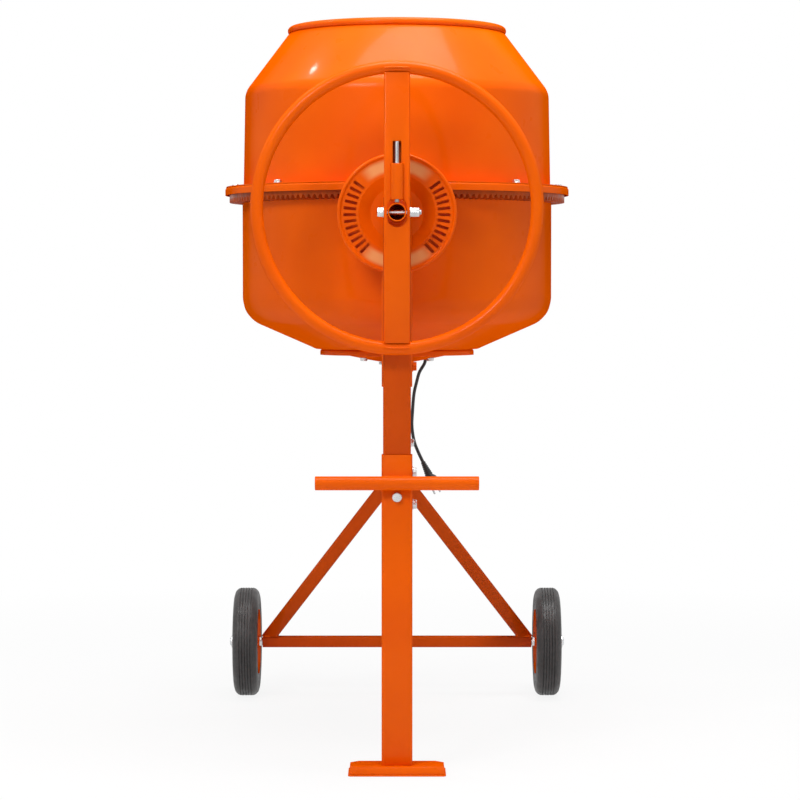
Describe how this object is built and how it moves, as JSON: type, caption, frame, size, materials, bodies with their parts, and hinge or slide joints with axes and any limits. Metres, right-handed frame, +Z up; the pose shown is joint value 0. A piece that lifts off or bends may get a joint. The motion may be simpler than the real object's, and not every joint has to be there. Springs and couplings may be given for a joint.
{
  "type": "concrete mixer",
  "caption": "Upright tilting-drum concrete mixer with an index-locking hand wheel, toothed drum ring, enclosed electric drive and two transport wheels.",
  "frame": {"origin": "middle of the foot's flat sole, under the front leg, on the ground", "axes": "+Z up, +Y from the hand wheel through the drum to the drive box and wheels, +X to the right seen from the hand wheel"},
  "size_m": [0.778, 1.251, 1.49],
  "materials": {
    "orange_paint": "gloss powder coat",
    "zinc_steel": "zinc plated",
    "machined_steel": "bare machined steel",
    "gear_iron": "painted cast iron",
    "motor_casing": "satin grey paint",
    "tyre_rubber": "matte ribbed rubber",
    "belt_rubber": "matte",
    "cord_sheath": "smooth matte",
    "black_plastic": "matte moulded",
    "green_plastic": "gloss",
    "red_plastic": "gloss"
  },
  "bodies": {
    "stand": {"foot_sole_plate": "orange_paint", "foot_channel": "orange_paint", "front_leg": "orange_paint", "front_upright": "orange_paint", "handle_bar": "orange_paint", "lower_beam": "orange_paint", "rear_leg_socket": "orange_paint", "rear_upright": "orange_paint", "left_strut": "orange_paint", "right_strut": "orange_paint", "axle_beam": "orange_paint", "axle": "zinc_steel", "front_bearing_housing": "orange_paint", "rear_bearing_housing": "orange_paint", "index_disc": "orange_paint", "leg_bolt_upper": "zinc_steel", "leg_bolt_lower": "zinc_steel", "beam_bolt": "zinc_steel", "rear_bolt": "zinc_steel", "motor_housing": "orange_paint", "motor_cover": "orange_paint", "motor": "motor_casing", "drive_belt": "belt_rubber", "switch_box": "black_plastic", "cable_gland": "black_plastic", "cord": "cord_sheath", "plug": "black_plastic"},
    "yoke": {"yoke_front_arm": "orange_paint", "yoke_rear_arm": "orange_paint", "yoke_base": "orange_paint", "front_pivot_tube": "orange_paint", "rear_pivot_tube": "orange_paint", "drum_spindle": "machined_steel", "hand_wheel_bolt": "zinc_steel"},
    "hand_wheel": {"hand_wheel_rim": "orange_paint", "hand_wheel_spoke": "orange_paint", "latch_guide": "orange_paint", "latch_tooth": "orange_paint", "latch_spring": "machined_steel"},
    "latch_plunger": {"latch_plunger": "zinc_steel"},
    "drum": {"drum_lower_shell": "orange_paint", "drum_upper_shell": "orange_paint", "ring_gear": "gear_iron", "drum_bottom_plate": "orange_paint", "drum_hub": "gear_iron", "hub_cap": "machined_steel", "lower_bearing": "machined_steel", "upper_bearing": "machined_steel", "blade_1": "orange_paint", "blade_2": "orange_paint"},
    "pinion": {"pinion": "gear_iron", "pinion_shaft": "machined_steel", "driven_pulley": "machined_steel"},
    "motor_pulley": {"motor_pulley": "machined_steel"},
    "left_wheel": {"left_tyre": "tyre_rubber", "left_rim": "orange_paint"},
    "right_wheel": {"right_tyre": "tyre_rubber", "right_rim": "orange_paint"},
    "start_button": {"start_button": "green_plastic"},
    "stop_button": {"stop_button": "red_plastic"}
  },
  "joints": [
    {"name": "drum_tilt", "type": "hinge", "parent": "stand", "child": "yoke", "pos_m": [0, 0.437, 1.09], "axis": [0, 1, 0], "range_deg": [-137, 137]},
    {"name": "hand_wheel_release", "type": "hinge", "parent": "yoke", "child": "hand_wheel", "pos_m": [0, -0.05, 1.09], "axis": [-1, 0, 0], "range_deg": [-3.5, 3]},
    {"name": "latch_plunger_slide", "type": "slide", "parent": "hand_wheel", "child": "latch_plunger", "axis": [0, 0, 1], "range_m": [-0.001, 0.001]},
    {"name": "drum_spin", "type": "hinge", "parent": "yoke", "child": "drum", "pos_m": [0, 0.437, 1.09], "axis": [0, 0, 1], "continuous": true},
    {"name": "pinion_spin", "type": "hinge", "parent": "yoke", "child": "pinion", "pos_m": [0, 0.437, 1.09], "axis": [0, 1, 0], "continuous": true},
    {"name": "motor_pulley_spin", "type": "hinge", "parent": "stand", "child": "motor_pulley", "pos_m": [0, 0.908, 0.902], "axis": [0, 1, 0], "continuous": true},
    {"name": "left_wheel_spin", "type": "hinge", "parent": "stand", "child": "left_wheel", "pos_m": [-0.349, 1.05, 0.125], "axis": [1, 0, 0], "continuous": true},
    {"name": "right_wheel_spin", "type": "hinge", "parent": "stand", "child": "right_wheel", "pos_m": [0.349, 1.05, 0.125], "axis": [1, 0, 0], "continuous": true},
    {"name": "start_button_press", "type": "slide", "parent": "stand", "child": "start_button", "axis": [-1, 0, 0], "range_m": [0, 0.003], "stiffness_N_per_m": 300},
    {"name": "stop_button_press", "type": "slide", "parent": "stand", "child": "stop_button", "axis": [-1, 0, 0], "range_m": [0, 0.003], "stiffness_N_per_m": 300}
  ],
  "couplings": [
    {"joint": "latch_plunger_slide", "follows": "hand_wheel_release", "m_per_rad": -0.014},
    {"joint": "pinion_spin", "follows": "drum_spin", "ratio": -9.3333},
    {"joint": "motor_pulley_spin", "follows": "drum_spin", "ratio": -49.778}
  ]
}
